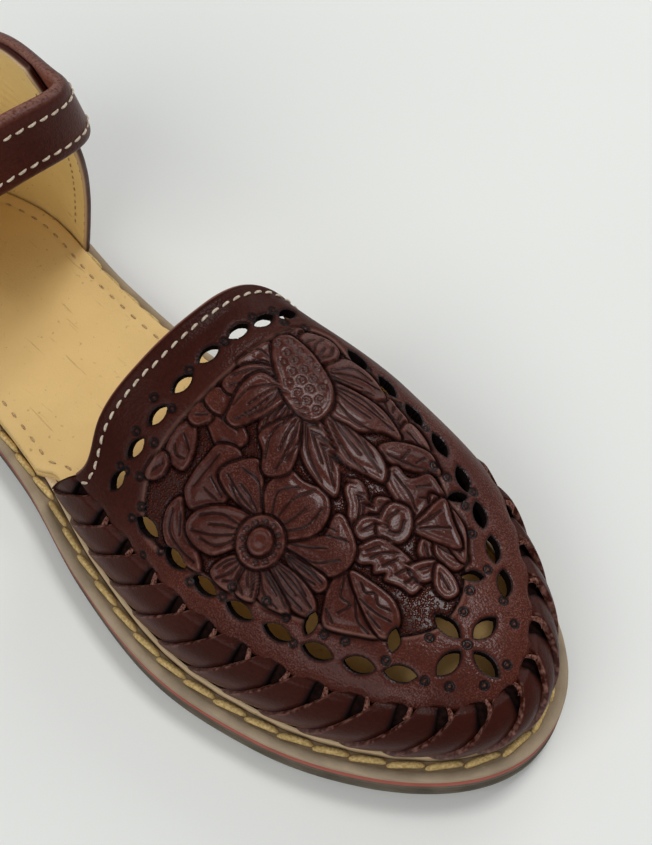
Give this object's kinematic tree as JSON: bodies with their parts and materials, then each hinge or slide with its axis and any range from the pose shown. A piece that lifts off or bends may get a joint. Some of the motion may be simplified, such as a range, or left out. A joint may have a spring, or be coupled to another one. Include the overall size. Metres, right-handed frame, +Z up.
{
  "type": "huarache sandal",
  "caption": "Closed-toe huarache sandal with a tooled and pierced leather vamp, braided border, open waist, heel counter and buckled ankle strap.",
  "frame": {"origin": "on the floor, at the middle of the whole sandal's length and width", "axes": "+X towards the toe, +Y towards the inner side of the foot, +Z up"},
  "size_m": [0.2626, 0.0964, 0.0981],
  "materials": {
    "sole_rubber": "matte, ribbed",
    "stripe_rubber": "matte",
    "rim_rubber": "matte",
    "insole_leather": "natural, smooth",
    "dark_leather": "semi-gloss, tooled",
    "buckle_metal": "aged"
  },
  "bodies": {
    "root": {"outsole": "sole_rubber", "sole_stripe": "stripe_rubber", "midsole": "rim_rubber", "insole": "insole_leather", "upper": "dark_leather", "heel_counter": "dark_leather", "ankle_strap": "dark_leather", "buckle_frame": "buckle_metal", "buckle_prong": "buckle_metal"}
  },
  "joints": []
}
